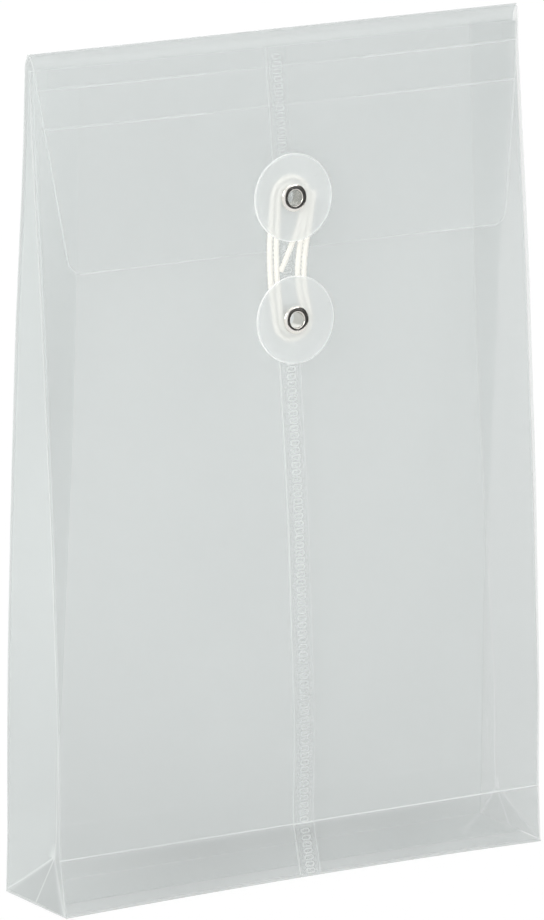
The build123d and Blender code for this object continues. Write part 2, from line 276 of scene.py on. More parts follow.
class Layout:
    """Levels, leans and soft shapes that follow from the scene's sizes."""

    # Shares of the way from the tie to the score over which the front's bow comes and goes
    BOW_COMES = 0.45
    BOW_GOES = 0.22
    # Shares of the front's and the back's bow that are lost at the side folds
    FRONT_LOSS = 0.5
    BACK_LOSS = 0.25
    # Powers that move the most swell up or down, and the share of the way that the fold holds still
    SIDE_SKEW = 0.58
    BACK_SKEW = 1.8
    FOLD_HOLDS = 0.06
    # Where the pinch of the fold starts, down from the fold line, and the run over which it grows
    PINCH_START = 85 * MM
    PINCH_RUN = 70 * MM
    # Width of the film beside the seam that strays with it, and half width of a pressed score
    DRIFT_RUN = 15 * MM
    GROOVE = 0.35 * MM
    # Run of the step off the seam, in thicknesses of the film
    STEP_RUN = 5
    # Softness of a gusset's inner crease, as a share of its half width
    CREASE_SOFTNESS = 0.05

    def __init__(self, context):
        sizes = context.scene.envelope_sizes
        tie = context.scene.tie_sizes
        film = sizes.film
        self.sizes = sizes
        self.tie = tie
        self.finishes = context.scene.envelope_finishes
        self.half_width = sizes.width / 2
        self.front_level = sizes.front_reach
        self.lap_level = self.front_level + film
        self.flap_level = self.lap_level + film + sizes.clinch + sizes.flap_clearance
        self.back_level = self.flap_level + film + sizes.fold_clearance
        self.fold_top = self.back_level + film / 2
        self.fold_z = sizes.height - self.fold_top
        front_rest = film + sizes.foot_clearance
        back_rest = 2 * film + sizes.foot_clearance
        self.front_lean, self.front_length = self.lean(self.lap_level + film / 2, front_rest)
        self.back_lean, self.back_length = self.lean(self.fold_top, back_rest)
        # Directions up the front panel and straight out of it
        self.up = Vector((0, math.sin(self.front_lean), math.cos(self.front_lean)))
        self.out = Vector((0, -math.cos(self.front_lean), math.sin(self.front_lean)))
        self.front_score = sizes.foot_height - self.front_length
        self.back_score = sizes.foot_height - self.back_length
        self.mouth = self.fold_top - sizes.mouth_drop
        self.gusset_foot = back_rest
        self.gusset_top = self.fold_z + self.mouth * math.cos(self.front_lean)
        self.upper_button = self.fold_top - sizes.flap_drop + tie.upper_button_edge
        self.lower_button = self.upper_button - tie.button_spacing
        self.barrel = tie.bore + tie.wall
        radius = tie.string_diameter / 2
        self.upper_string = self.flap_level + film / 2 + tie.flap_gap + radius
        self.lower_string = self.upper_string - tie.string_fall

    def lean(self, outer, rest):
        """Lean and length of a panel whose outermost layer ends at the base's edge."""
        drop = self.fold_z - rest
        span = math.hypot(self.sizes.base_depth / 2, drop)
        lean = math.atan2(self.sizes.base_depth / 2, drop) - math.asin(outer / span)
        return lean, math.sqrt(span**2 - outer**2)

    def on_panel(self, side, x, along, out):
        """Point of a leaning panel: along runs up it from the fold line, out leaves the envelope."""
        lean = self.front_lean if side == FRONT_SIDE else self.back_lean
        y = -side * along * math.sin(lean) + side * out * math.cos(lean)
        z = self.fold_z + along * math.cos(lean) + out * math.sin(lean)
        return Vector((x, y, z))

    def side_swell(self, x, along):
        """How far the front and the flap over it curve out along the side folds."""
        travelled = clamp(along / self.front_score)
        most = self.sizes.right_swell if x > 0 else self.sizes.left_swell
        profile = math.sin(math.pi * travelled**self.SIDE_SKEW) * ease(travelled / self.FOLD_HOLDS)
        return most * profile * (x / self.half_width) ** 4

    def front_swell(self, x, along):
        """How far the front pillows out below the tie, most at its middle."""
        start = self.lower_button
        travelled = clamp((start - along) / (start - self.front_score))
        profile = ease(travelled / self.BOW_COMES) * ease((1 - travelled) / self.BOW_GOES)
        across = 1 - self.FRONT_LOSS * (x / self.half_width) ** 2
        return self.sizes.front_bow * profile * across + self.side_swell(x, along)

    def back_swell(self, x, along):
        """How far the back pillows out between the fold and its score."""
        travelled = clamp(along / self.back_score)
        across = 1 - self.BACK_LOSS * (x / self.half_width) ** 2
        return self.sizes.back_bow * math.sin(math.pi * travelled**self.BACK_SKEW) * across

    def foot_swing(self, x, along):
        """How far the front foot swings out and lifts, most at the middle of its lower edge."""
        down = clamp((self.front_score - along) / self.sizes.foot_height)
        middle = 1 - (x / self.half_width) ** 2
        leftward = (1 - x / self.half_width) / 2
        swing = self.sizes.foot_flare * middle + self.sizes.left_flare * leftward
        lift = self.sizes.foot_lift * middle + self.sizes.left_lift * leftward**3
        return swing * down, lift * down

    def drift(self, x, along):
        """How far the seam and the film beside it stray, growing from the upper button to the mouth."""
        beside = 1 - ease((abs(x) - self.sizes.seam_lap / 2) / self.DRIFT_RUN)
        risen = clamp((along - self.upper_button) / (self.mouth - self.upper_button))
        return -self.sizes.seam_drift * beside * risen

    def squeeze(self, point):
        """Pinches the top fold in towards its ends, with the flap and the back as far apart as ever."""
        end = abs(point.x / self.half_width) ** 5
        top = ease((point.z - self.fold_z + self.PINCH_START) / self.PINCH_RUN)
        away = abs(point.y)
        inner = ease(away / (self.flap_level - self.sizes.film / 2))
        away -= self.sizes.fold_pinch * end * top * inner
        return Vector((point.x, math.copysign(away, point.y), point.z))

    def front_point(self, x, along, level):
        """Point of the front's film or what lies on it."""
        swing, lift = self.foot_swing(x, along)
        point = self.on_panel(FRONT_SIDE, x, along, level + self.front_swell(x, along) + swing)
        point.x += self.drift(x, along)
        point.z += lift
        return self.squeeze(point)

    def front_half_level(self, right, x):
        """Level of the front's film: the right half steps up over the left one along the seam."""
        if not right:
            return self.front_level
        stepped = ease((x - self.sizes.seam_lap / 2) / (self.STEP_RUN * self.sizes.film))
        return self.lap_level + (self.front_level - self.lap_level) * stepped

    def back_point(self, x, along):
        """Point of the back's film."""
        level = self.back_level + self.back_swell(x, along)
        return self.squeeze(self.on_panel(BACK_SIDE, x, along, level))

    def fold_point(self, side, x, along, level):
        """Point of a panel whose top, past the fold line, rolls over it in a round."""
        if along <= 0:
            return self.squeeze(self.on_panel(side, x, along, level))
        turned = along / level
        point = self.on_panel(side, x, level * math.sin(turned), level * math.cos(turned))
        return self.squeeze(point)

    def flap_half_width(self, along):
        """Half width of the tapered flap, with its lower corners rounded."""
        drop = self.fold_top - along
        half = self.half_width - self.sizes.flap_inset * drop / self.sizes.flap_drop
        radius = self.sizes.flap_corner
        below = radius - (self.sizes.flap_drop - drop)
        if below > 0:
            half -= radius - math.sqrt(max(radius**2 - below**2, 0))
        return half

    def flap_point(self, x, along):
        """Point of the flap, pressed in a little at its two scores."""
        point_x = x / self.half_width * self.flap_half_width(min(along, self.flap_level))
        level = self.flap_level + self.side_swell(x, min(along, 0))
        for drop in (self.sizes.upper_score, self.sizes.lower_score):
            away = (self.fold_top - drop - along) / self.GROOVE
            level -= self.sizes.score_groove * math.exp(-away * away)
        return self.fold_point(FRONT_SIDE, point_x, along, level)

    def gusset_edges(self, x, z):
        """World y of the front and back panels' inner faces at a height, along one side fold."""
        half_film = self.sizes.film / 2
        along = (z - self.fold_z) / math.cos(self.front_lean)
        swell = self.front_swell(x, along) + self.foot_swing(x, along)[0]
        front = self.on_panel(FRONT_SIDE, 0, along, self.front_level - half_film + swell).y
        along = (z - self.fold_z) / math.cos(self.back_lean)
        swell = self.back_swell(x, along)
        back = self.on_panel(BACK_SIDE, 0, along, self.back_level - half_film + swell).y
        return front, back

    def gusset_half(self, side):
        """Half the width of a gusset's film: flat across, it would just reach both panels' feet."""
        front, back = self.gusset_edges(side * self.half_width, self.gusset_foot)
        return (back - front) / 2

    def gusset_point(self, side, across, z):
        """Point of a side gusset: across runs over its film from the back edge to the front one."""
        edge = side * self.half_width
        front, back = self.gusset_edges(edge, z)
        middle = (front + back) / 2
        opening = (back - front) / 2
        half = self.gusset_half(side)
        reach = abs(across) / half
        soft = self.CREASE_SOFTNESS
        rounded = 1 - math.hypot(reach, soft) + soft * reach
        fan = self.sizes.fan_height
        if z < fan:
            front, back = self.gusset_edges(edge, fan)
            sunk = math.sqrt(half**2 - ((back - front) / 2) ** 2)
            depth = sunk * max(min(rounded, (z - self.gusset_foot) / (fan - self.gusset_foot)), 0)
        else:
            depth = rounded * math.sqrt(max(half**2 - opening**2, 0))
        x = side * (self.half_width - self.sizes.film / 2 - depth)
        y = middle - math.copysign(opening * reach, across)
        return self.squeeze(Vector((x, y, z)))

    def base_point(self, x, y, level):
        """Point of a base flap, which swings out and lifts with the front foot."""
        deep = self.sizes.base_depth / 2
        forward = (deep - y) / (2 * deep)
        swing, lift = self.foot_swing(x, -self.front_length)
        return Vector((x, y - swing * forward, level + lift * forward))

    def button_levels(self, upper):
        """Height along the front and underside of a button, and inner face of the film it holds."""
        room = self.tie.string_diameter / 2 + self.tie.button_gap
        half_film = self.sizes.film / 2
        if upper:
            return self.upper_button, self.upper_string + room, self.flap_level - half_film
        return self.lower_button, self.lower_string + room, self.front_level - half_film


# Modelling helpers


def deselect():
    """Leaves nothing selected, so that an operator acts on the next piece alone."""
    bpy.ops.object.select_all(action="DESELECT")


def named(name):
    """The object that was just added, under a name that its data shares."""
    piece = bpy.context.active_object
    piece.name = name
    piece.data.name = name
    return piece


def loops(low, high, step, lines=(), width=0.0):
    """Places of edge loops from low to high, evenly spaced, with closer ones beside each line."""
    count = max(1, round((high - low) / step))
    places = [low + (high - low) * index / count for index in range(count + 1)]
    for line in lines:
        for offset in (-2 * width, -width, -width / 2, 0, width / 2, width, 2 * width):
            if low < line + offset < high:
                places.append(line + offset)
    kept = []
    for place in sorted(places):
        if not kept or place - kept[-1] > LEAST_LOOP_GAP:
            kept.append(place)
    kept[-1] = high
    return kept


def add_sheet(name, columns, rows):
    """Flat grid whose loops lie at the given places across and along."""
    deselect()
    across = len(columns) - 1
    along = len(rows) - 1
    bpy.ops.mesh.primitive_grid_add(x_subdivisions=across, y_subdivisions=along, size=1)
    piece = named(name)
    for vertex in piece.data.vertices:
        column = round((vertex.co.x + 0.5) * across)
        row = round((vertex.co.y + 0.5) * along)
        vertex.co = (columns[column], rows[row], 0)
    return piece


def mark(piece, name, value_of):
    """Stores a value for every point of a piece, found from where the point lies."""
    values = [value_of(vertex.co) for vertex in piece.data.vertices]
    layer = piece.data.attributes.new(name, "FLOAT", "POINT")
    layer.data.foreach_set("value", values)


def lines_up(low, high, white, *places):
    """Creases or cut edges up a flat sheet, as start, end and whiteness."""
    return [((x, low), (x, high), white) for x in places]


def lines_across(left, right, white, *rows):
    """Creases or cut edges across a flat sheet, as start, end and whiteness."""
    return [((left, row), (right, row), white) for row in rows]


def whitening_at(spot, lines, width):
    """Whiteness of a point of a flat sheet, from the creases and cut edges near it."""
    whitest = 0.0
    for start, end, white in lines:
        run = Vector(end) - Vector(start)
        step = spot.xy - Vector(start)
        foot = Vector(start) + run * clamp(step.dot(run) / run.length_squared)
        whitest = max(whitest, white * ease(1 - (spot.xy - foot).length / width))
    return whitest


def apply_modifiers(piece):
    """Applies a piece's modifiers in order."""
    bpy.context.view_layer.objects.active = piece
    for modifier in list(piece.modifiers):
        bpy.ops.object.modifier_apply(modifier=modifier.name)


def face_outwards(piece):
    """Merges doubled points and turns a closed shell's faces outwards."""
    deselect()
    piece.select_set(True)
    bpy.context.view_layer.objects.active = piece
    bpy.ops.object.mode_set(mode="EDIT")
    bpy.ops.mesh.select_all(action="SELECT")
    bpy.ops.mesh.remove_doubles(threshold=LEAST_POINT_GAP)
    bpy.ops.mesh.normals_make_consistent(inside=False)
    bpy.ops.object.mode_set(mode="OBJECT")
    bpy.ops.object.shade_smooth_by_angle(angle=SMOOTH_ANGLE)


def add_film(plan, name, columns, rows, lines, point_of, breadth=1.0, **marks):
    """Film of a piece: a flat sheet, marked, laid in place and given its thickness to both sides."""
    piece = add_sheet(name, columns, rows)
    width = breadth * plan.sizes.crease_width
    mark(piece, "whitening", lambda spot: whitening_at(spot, lines, width))
    for label, value_of in marks.items():
        mark(piece, label, value_of)
    for vertex in piece.data.vertices:
        vertex.co = point_of(vertex.co.x, vertex.co.y)
    piece.data.update()
    solid = piece.modifiers.new("thickness", "SOLIDIFY")
    solid.thickness = plan.sizes.film
    solid.offset = 0
    solid.use_even_offset = True
    apply_modifiers(piece)
    face_outwards(piece)
    return piece


def punch(plan, piece, along, film_level):
    """Punches an eyelet's hole through a film of the front or the flap."""
    deselect()
    bpy.ops.mesh.primitive_cylinder_add(
        vertices=48, radius=plan.barrel, depth=4 * MM,
        location=plan.on_panel(FRONT_SIDE, 0, along, film_level),
        rotation=plan.out.to_track_quat("Z", "Y").to_euler(),
    )
    cutter = bpy.context.active_object
    hole = piece.modifiers.new("hole", "BOOLEAN")
    hole.operation = "DIFFERENCE"
    hole.object = cutter
    hole.solver = "EXACT"
    apply_modifiers(piece)
    bpy.data.objects.remove(cutter)


def spin_ring(name, profile):
    """Ring from a closed profile of radius and height, spun round the z axis."""
    deselect()
    bpy.ops.mesh.primitive_circle_add(vertices=len(profile), radius=1)
    piece = named(name)
    for vertex, (radius, height) in zip(piece.data.vertices, profile):
        vertex.co = (radius, 0, height)
    bpy.ops.object.mode_set(mode="EDIT")
    bpy.ops.mesh.select_all(action="SELECT")
    bpy.ops.mesh.spin(steps=96, angle=2 * math.pi, center=(0, 0, 0), axis=(0, 0, 1))
    bpy.ops.object.mode_set(mode="OBJECT")
    face_outwards(piece)
    return piece


def stand_on_front(plan, piece, along, out):
    """Sets a spun piece on the front, its axis out of the panel, with its place in its mesh."""
    centre = plan.on_panel(FRONT_SIDE, 0, along, out)
    for vertex in piece.data.vertices:
        x, y, z = vertex.co
        vertex.co = centre + Vector((x, 0, 0)) + plan.up * y + plan.out * z
    piece.data.update()


def arc(centre, radius, start, end, count):
    """Points of a profile's arc between two angles in degrees."""
    points = []
    for index in range(count + 1):
        angle = math.radians(start + (end - start) * index / count)
        points.append((centre[0] + radius * math.cos(angle), centre[1] + radius * math.sin(angle)))
    return points


def rolled(start, end, height, flatness, count):
    """Points of a rolled rim between two points of a profile; a flatter one has a broader crown."""
    points = []
    for index in range(count + 1):
        turned = math.pi * index / count
        across = (1 - math.cos(turned)) / 2
        risen = max(math.sin(turned), 0) ** (1 / flatness)
        x = start[0] + (end[0] - start[0]) * across
        y = start[1] + (end[1] - start[1]) * across + height * risen
        points.append((x, y))
    return points


# Materials


def add_node(tree, kind, inputs=None, **settings):
    """New shader node with its settings and socket values."""
    node = tree.nodes.new(kind)
    for key, value in settings.items():
        setattr(node, key, value)
    for key, value in (inputs or {}).items():
        node.inputs[key].default_value = value
    return node


def feed(tree, socket, value):
    """Links a socket to another one, or sets its plain value."""
    if isinstance(value, bpy.types.NodeSocket):
        tree.links.new(value, socket)
    else:
        socket.default_value = value


def math_node(tree, operation, first, second):
    """Math node on two sockets or numbers, and its output."""
    node = add_node(tree, "ShaderNodeMath", operation=operation)
    feed(tree, node.inputs[0], first)
    feed(tree, node.inputs[1], second)
    return node.outputs[0]


def mix_colours(tree, factor, first, second):
    """Mix of two colours by a socket, and its output."""
    node = add_node(tree, "ShaderNodeMix", data_type="RGBA")
    feed(tree, node.inputs[0], factor)
    feed(tree, node.inputs[6], first)
    feed(tree, node.inputs[7], second)
    return node.outputs[2]


def map_range(tree, value, *limits):
    """Value mapped from a low and a high to another low and high, and its output."""
    node = add_node(tree, "ShaderNodeMapRange")
    for socket, given in zip(node.inputs, (value, *limits)):
        feed(tree, socket, given)
    return node.outputs[0]


def object_spot(tree):
    """The piece's own coordinates."""
    return add_node(tree, "ShaderNodeTexCoord").outputs["Object"]


def noise_at(tree, spot, **inputs):
    """Noise over coordinates."""
    noise = add_node(tree, "ShaderNodeTexNoise", inputs)
    tree.links.new(spot, noise.inputs["Vector"])
    return noise


def new_group(name, inputs, outputs):
    """Shader node group with float inputs, given as name and default, and named outputs."""
    group = bpy.data.node_groups.new(name, "ShaderNodeTree")
    for label, value in inputs:
        socket = group.interface.new_socket(label, in_out="INPUT", socket_type="NodeSocketFloat")
        socket.default_value = value
    for label in outputs:
        group.interface.new_socket(label, in_out="OUTPUT", socket_type="NodeSocketFloat")
    return group, group.nodes.new("NodeGroupInput"), group.nodes.new("NodeGroupOutput")


def handling_group(name):
    """Cloudy haze and fine rubbed scuffs, as plastic and metal get from handling."""
    scales = (("Cloud Scale", 20), ("Scuff Scale", 900))
    group, given, result = new_group(name, scales, ("Cloud", "Scuff"))
    spot = object_spot(group)
    stretch = add_node(group, "ShaderNodeMapping", {"Scale": (0.25, 1, 1), "Rotation": (0.2, 0.5, 0.3)})
    group.links.new(spot, stretch.inputs["Vector"])
    cloud = noise_at(group, spot, Detail=2, Roughness=0.45)
    scuff = noise_at(group, stretch.outputs["Vector"], Detail=3, Roughness=0.6)
    group.links.new(given.outputs["Cloud Scale"], cloud.inputs["Scale"])
    group.links.new(given.outputs["Scuff Scale"], scuff.inputs["Scale"])
    group.links.new(map_range(group, cloud.outputs[0], 0.3, 0.7, 0, 1), result.inputs["Cloud"])
    group.links.new(map_range(group, scuff.outputs[0], 0.52, 0.75, 0, 1), result.inputs["Scuff"])
    return group


def whitening_group(name):
    """Mask of stress-whitened creases and cut edges, broken up a little along their length."""
    group, given, result = new_group(name, (("Break Scale", 400),), ("Mask",))
    white = add_node(group, "ShaderNodeAttribute", attribute_name="whitening")
    grain = noise_at(group, object_spot(group), Detail=2)
    group.links.new(given.outputs["Break Scale"], grain.inputs["Scale"])
    broken = map_range(group, grain.outputs[0], 0.35, 0.65, 0.55, 1)
    group.links.new(math_node(group, "MULTIPLY", white.outputs["Fac"], broken), result.inputs["Mask"])
    return group


def use_group(tree, name, make, **inputs):
    """Node group, made when it is first used, placed in a material with its own values."""
    group = bpy.data.node_groups.get(name) or make(name)
    node = add_node(tree, "ShaderNodeGroup", node_tree=group)
    for key, value in inputs.items():
        node.inputs[key.replace("_", " ")].default_value = value
    return node.outputs


def new_material(name):
    """Material with a Principled shader on its output, its nodes and that shader."""
    material = bpy.data.materials.new(name)
    material.use_nodes = True
    return material, material.node_tree, material.node_tree.nodes["Principled BSDF"]


def once(name, make, *values):
    """Material of this name, made when it is first asked for."""
    return bpy.data.materials.get(name) or make(name, *values)


def opaque(values, factor=1.0):
    """Colour scaled by a factor, as a socket takes it."""
    return tuple(value * factor for value in values) + (1.0,)


def vary(tree, shader, socket, mask, low, high):
    """Lets a shader's socket run from one value to another with a mask."""
    tree.links.new(map_range(tree, mask, 0, 1, low, high), shader.inputs[socket])


def cloudy(tree, shader, paint, lighter, cloud_scale, scuff_scale):
    """Colour that clouds to a lighter one, and the masks of handling that go with it."""
    handled = use_group(
        tree, "Handling", handling_group, Cloud_Scale=cloud_scale, Scuff_Scale=scuff_scale
    )
    tone = mix_colours(tree, handled["Cloud"], opaque(paint), opaque(paint, lighter))
    tree.links.new(tone, shader.inputs["Base Color"])
    return handled["Cloud"], handled["Scuff"]


def bump(tree, shader, height, distance, strength):
    """Fine relief on a shader's normal."""
    node = add_node(tree, "ShaderNodeBump", {"Strength": strength, "Distance": distance})
    tree.links.new(height, node.inputs["Height"])
    tree.links.new(node.outputs[0], shader.inputs["Normal"])


def mix_for_rays(tree, rays, amount, shader, other, output):
    """Mixes another shader into an output for some kinds of ray."""
    path = add_node(tree, "ShaderNodeLightPath")
    chosen = path.outputs[rays[0]]
    for ray in rays[1:]:
        chosen = math_node(tree, "MAXIMUM", chosen, path.outputs[ray])
    mix = add_node(tree, "ShaderNodeMixShader")
    tree.links.new(math_node(tree, "MULTIPLY", chosen, amount), mix.inputs[0])
    tree.links.new(shader.outputs[0], mix.inputs[1])
    tree.links.new(other.outputs[0], mix.inputs[2])
    tree.links.new(mix.outputs[0], tree.nodes[output].inputs["Surface"])


def pass_light_on(tree, shader, amount):
    """Lets light through to what lies behind, as hazy plastic scatters it onwards."""
    clear = add_node(tree, "ShaderNodeBsdfTransparent")
    rays = ("Is Shadow Ray", "Is Diffuse Ray")
    mix_for_rays(tree, rays, amount, shader, clear, "Material Output")


def white_to_camera(tree, shader, amount, output):
    """Mixes plain white into what the camera, gloss and clear plastic see."""
    white = add_node(tree, "ShaderNodeEmission", {"Color": (1, 1, 1, 1), "Strength": 1.0})
    rays = ("Is Camera Ray", "Is Glossy Ray", "Is Transmission Ray")
    mix_for_rays(tree, rays, amount, shader, white, output)


def foot_shade(tree, place, tone, film):
    """Painted shade: deepens the film's tone in the front foot, most under its score and least at its
    ends.
    """
    sideways = math_node(tree, "ABSOLUTE", place["X"], 0)
    below_score = map_range(tree, place["Z"], 16.6 * MM, 15.0 * MM, 0, 1)
    near_score = map_range(tree, place["Z"], 2 * MM, 15 * MM, 0.35, 1)
    from_ends = map_range(tree, sideways, 85 * MM, 30 * MM, 0, 1)
    in_front = map_range(tree, place["Y"], 4 * MM, -8 * MM, 0, 1)
    mask = math_node(tree, "MULTIPLY", below_score, near_score)
    mask = math_node(tree, "MULTIPLY", mask, from_ends)
    mask = math_node(tree, "MULTIPLY", mask, in_front)
    return mix_colours(tree, mask, tone, opaque(film, FOOT_SHADE_TONE))


def film_material(name, finishes, cover, lightness, upper):
    """Frosted film: hazy, half clear, whiter where it is creased or cut, with painted shade that
    deepens its tone low down, in the front foot and in the fans, and painted light that lightens it
    high up by the share given.
    """
    material, tree, shader = new_material(name)
    film = finishes.film
    handled = use_group(tree, "Handling", handling_group, Cloud_Scale=14.0, Scuff_Scale=700.0)
    mask = use_group(tree, "Whitening", whitening_group, Break_Scale=24.0)["Mask"]
    split = add_node(tree, "ShaderNodeSeparateXYZ")
    tree.links.new(object_spot(tree), split.inputs[0])
    place = split.outputs
    # Painted shade: the film darkens towards the bottom, where less light reaches it
    shade_low_down = map_range(tree, place["Z"], 110 * MM, 16 * MM, 0, 1)
    tone = mix_colours(tree, shade_low_down, opaque(film, lightness), opaque(film, LOW_SHADE_TONE * lightness))
    # Painted light: the film lightens high up by its given share
    lit_high_up = map_range(tree, place["Z"], 150 * MM, 230 * MM, 0, 1)
    tone = mix_colours(tree, lit_high_up, tone, opaque(film, upper * lightness))
    tone = foot_shade(tree, place, tone, film)
    # Painted shade in the gussets' folded fans, from their shade mark
    fan = add_node(tree, "ShaderNodeAttribute", attribute_name="shade")
    tone = mix_colours(tree, fan.outputs["Fac"], tone, opaque(film, FAN_SHADE_TONE))
    haze = math_node(tree, "MULTIPLY", handled["Cloud"], 0.5)
    tone = mix_colours(tree, haze, tone, opaque(film, CLOUD_TONE * lightness))
    tone = mix_colours(tree, mask, tone, opaque(finishes.crease))
    tree.links.new(tone, shader.inputs["Base Color"])
    vary(tree, shader, "Roughness", handled["Scuff"], 0.30, 0.38)
    vary(tree, shader, "Alpha", mask, cover, finishes.crease_cover)
    bump(tree, shader, handled["Cloud"], 0.4 * MM, 0.5)
    shader.inputs["IOR"].default_value = PLASTIC_IOR
    pass_light_on(tree, shader, finishes.light_passed)
    return material


def button_material(name, finishes):
    """Frosted clear plastic, which blurs the string under it."""
    material, tree, shader = new_material(name)
    cloud, _ = cloudy(tree, shader, finishes.button, 1.04, 60.0, 1500.0)
    vary(tree, shader, "Roughness", cloud, 0.36, 0.42)
    shader.inputs["Transmission Weight"].default_value = finishes.button_clearness
    shader.inputs["IOR"].default_value = PLASTIC_IOR
    pass_light_on(tree, shader, finishes.light_passed)
    return material


def rim_highlight_material(name, finishes):
    """Sheared rim of a button, whitened as a painted highlight where its edge gathers the light."""
    material, tree, shader = new_material(name)
    cloud, scuff = cloudy(tree, shader, finishes.crease, 1.1, 90.0, 1500.0)
    vary(tree, shader, "Alpha", cloud, 0.85 * finishes.rim_cover, finishes.rim_cover)
    vary(tree, shader, "Roughness", scuff, 0.2, 0.35)
    pass_light_on(tree, shader, finishes.light_passed)
    return material


def nickel_material(name, finishes):
    """Bright plated metal with a few fine scuffs."""
    material, tree, shader = new_material(name)
    _, scuff = cloudy(tree, shader, finishes.nickel, 1.12, 300.0, 2600.0)
    vary(tree, shader, "Roughness", scuff, 0.13, 0.30)
    bump(tree, shader, scuff, 0.01 * MM, 0.15)
    shader.inputs["Metallic"].default_value = 1.0
    pass_light_on(tree, shader, finishes.metal_passed)
    return material


def string_material(name, finishes):
    """Bleached cotton with fine soft fibres."""
    material, tree, shader = new_material(name)
    fibres = noise_at(tree, object_spot(tree), Scale=5200, Detail=3, Roughness=0.65)
    soft = map_range(tree, fibres.outputs[0], 0.3, 0.7, 0, 1)
    tone = mix_colours(tree, soft, opaque(finishes.string, 0.93), opaque(finishes.string, 1.03))
    tree.links.new(tone, shader.inputs["Base Color"])
    vary(tree, shader, "Roughness", soft, 0.95, 0.8)
    bump(tree, shader, soft, 0.06 * MM, 0.5)
    shader.inputs["Sheen Weight"].default_value = 0.25
    pass_light_on(tree, shader, finishes.string_passed)
    return material


def matt_material(name, paint, lighter, cloud_scale, scuff_scale):
    """Dull material of the table and the card."""
    material, tree, shader = new_material(name)
    cloudy(tree, shader, paint, lighter, cloud_scale, scuff_scale)
    shader.inputs["Roughness"].default_value = 0.9
    return material


def dress(piece, material):
    """Gives a piece its one material."""
    piece.data.materials.clear()
    piece.data.materials.append(material)


def finish_film(plan, piece, kind, body, *nodes):
    """Dresses a film piece, sets it on its body and hides its CAD nodes."""
    name, cover, lightness, upper = FILMS[kind]
    cover = getattr(plan.finishes, cover)
    dress(piece, once(name, film_material, plan.finishes, cover, lightness, upper))
    if body:
        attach(piece, body)
    if nodes:
        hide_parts(*nodes)


# Film pieces


def full_columns(plan, step=PANEL_STEP):
    """Loops across the whole width, close together at the sides."""
    side = plan.half_width
    return loops(-side, side, step, (-side, side), plan.sizes.crease_width)


def add_front(plan, name, right, low, high, edges):
    """Film of one half of the front between two heights, whitened at its edges."""
    width = plan.sizes.crease_width
    side = plan.half_width
    lap = plan.sizes.seam_lap / 2
    if right:
        lines = (-lap, lap, lap + plan.sizes.film, side)
        columns = loops(-lap, side, PANEL_STEP, lines, width)
        cut, fold = columns[0], columns[-1]
    else:
        columns = loops(-side, lap, PANEL_STEP, (-side, lap), width)
        fold, cut = columns[0], columns[-1]
    rows = loops(low, high, PANEL_STEP, (low, high), width)
    lines = lines_up(low, high, FRONT_FOLD_WHITE, fold)
    lines += lines_up(low, high, SEAM_EDGE_WHITE, cut)
    for row, white in edges:
        lines += lines_across(columns[0], columns[-1], white, row)
    return add_film(
        plan, name, columns, rows, lines,
        lambda x, along: plan.front_point(x, along, plan.front_half_level(right, x)),
    )


class ENVELOPE_OT_front(bpy.types.Operator):
    """Add the two front panels, lapped along the welded seam"""

    bl_idname = "envelope.front"
    bl_label = "Front Panels"
    bl_options = {"REGISTER", "UNDO"}

    def execute(self, context):
        plan = Layout(context)
        low, high = plan.front_score, plan.mouth
        edges = ((low, FRONT_SCORE_WHITE), (high, MOUTH_WHITE))
        for word, right in (("left", False), ("right", True)):
            piece = add_front(plan, f"{word}_front_film", right, low, high, edges)
            punch(plan, piece, plan.lower_button, plan.lap_level)
            finish_film(plan, piece, "front", "front", f"front_{word}_panel")
        return {"FINISHED"}


class ENVELOPE_OT_feet(bpy.types.Operator):
    """Add the foot strips below the scores of the front and the back"""

    bl_idname = "envelope.feet"
    bl_label = "Foot Strips"
    bl_options = {"REGISTER", "UNDO"}

    def execute(self, context):
        plan = Layout(context)
        low, high = -plan.front_length, plan.front_score
        edges = ((high, FRONT_SCORE_WHITE), (low, FRONT_FOOT_WHITE))
        for word, right in (("left", False), ("right", True)):
            piece = add_front(plan, f"{word}_foot_film", right, low, high, edges)
            finish_film(plan, piece, "front", "front", f"front_{word}_foot")
        side = plan.half_width
        low, high = -plan.back_length, plan.back_score
        rows = loops(low, high, STRIP_STEP, (low, high), plan.sizes.crease_width)
        lines = lines_up(low, high, BACK_EDGE_WHITE, -side, side)
        lines += lines_across(-side, side, BACK_SCORE_WHITE, high)
        lines += lines_across(-side, side, BACK_FOOT_WHITE, low)
        piece = add_film(plan, "back_foot_film", full_columns(plan), rows, lines, plan.back_point)
        finish_film(plan, piece, "back", "back", "back_foot")
        return {"FINISHED"}


class ENVELOPE_OT_back(bpy.types.Operator):
    """Add the back panel and its half of the rounded top fold"""

    bl_idname = "envelope.back"
    bl_label = "Back Panel"
    bl_options = {"REGISTER", "UNDO"}

    def execute(self, context):
        plan = Layout(context)
        side = plan.half_width
        columns = full_columns(plan)
        low = plan.back_score
        rows = loops(low, 0, PANEL_STEP, (low,), plan.sizes.crease_width)
        lines = lines_up(low, 0, BACK_EDGE_WHITE, -side, side)
        lines += lines_across(-side, side, BACK_SCORE_WHITE, low)
        piece = add_film(plan, "back_film", columns, rows, lines, plan.back_point)
        finish_film(plan, piece, "back", "back", "back_panel")
        over = plan.back_level * math.pi / 2
        piece = add_film(
            plan, "back_fold_film", columns, loops(0, over, ROUND_STEP),
            lines_up(0, over, BACK_EDGE_WHITE, -side, side),
            lambda x, along: plan.fold_point(BACK_SIDE, x, along, plan.back_level),
        )
        finish_film(plan, piece, "back", "back", "back_top_fold")
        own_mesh(piece)
        return {"FINISHED"}


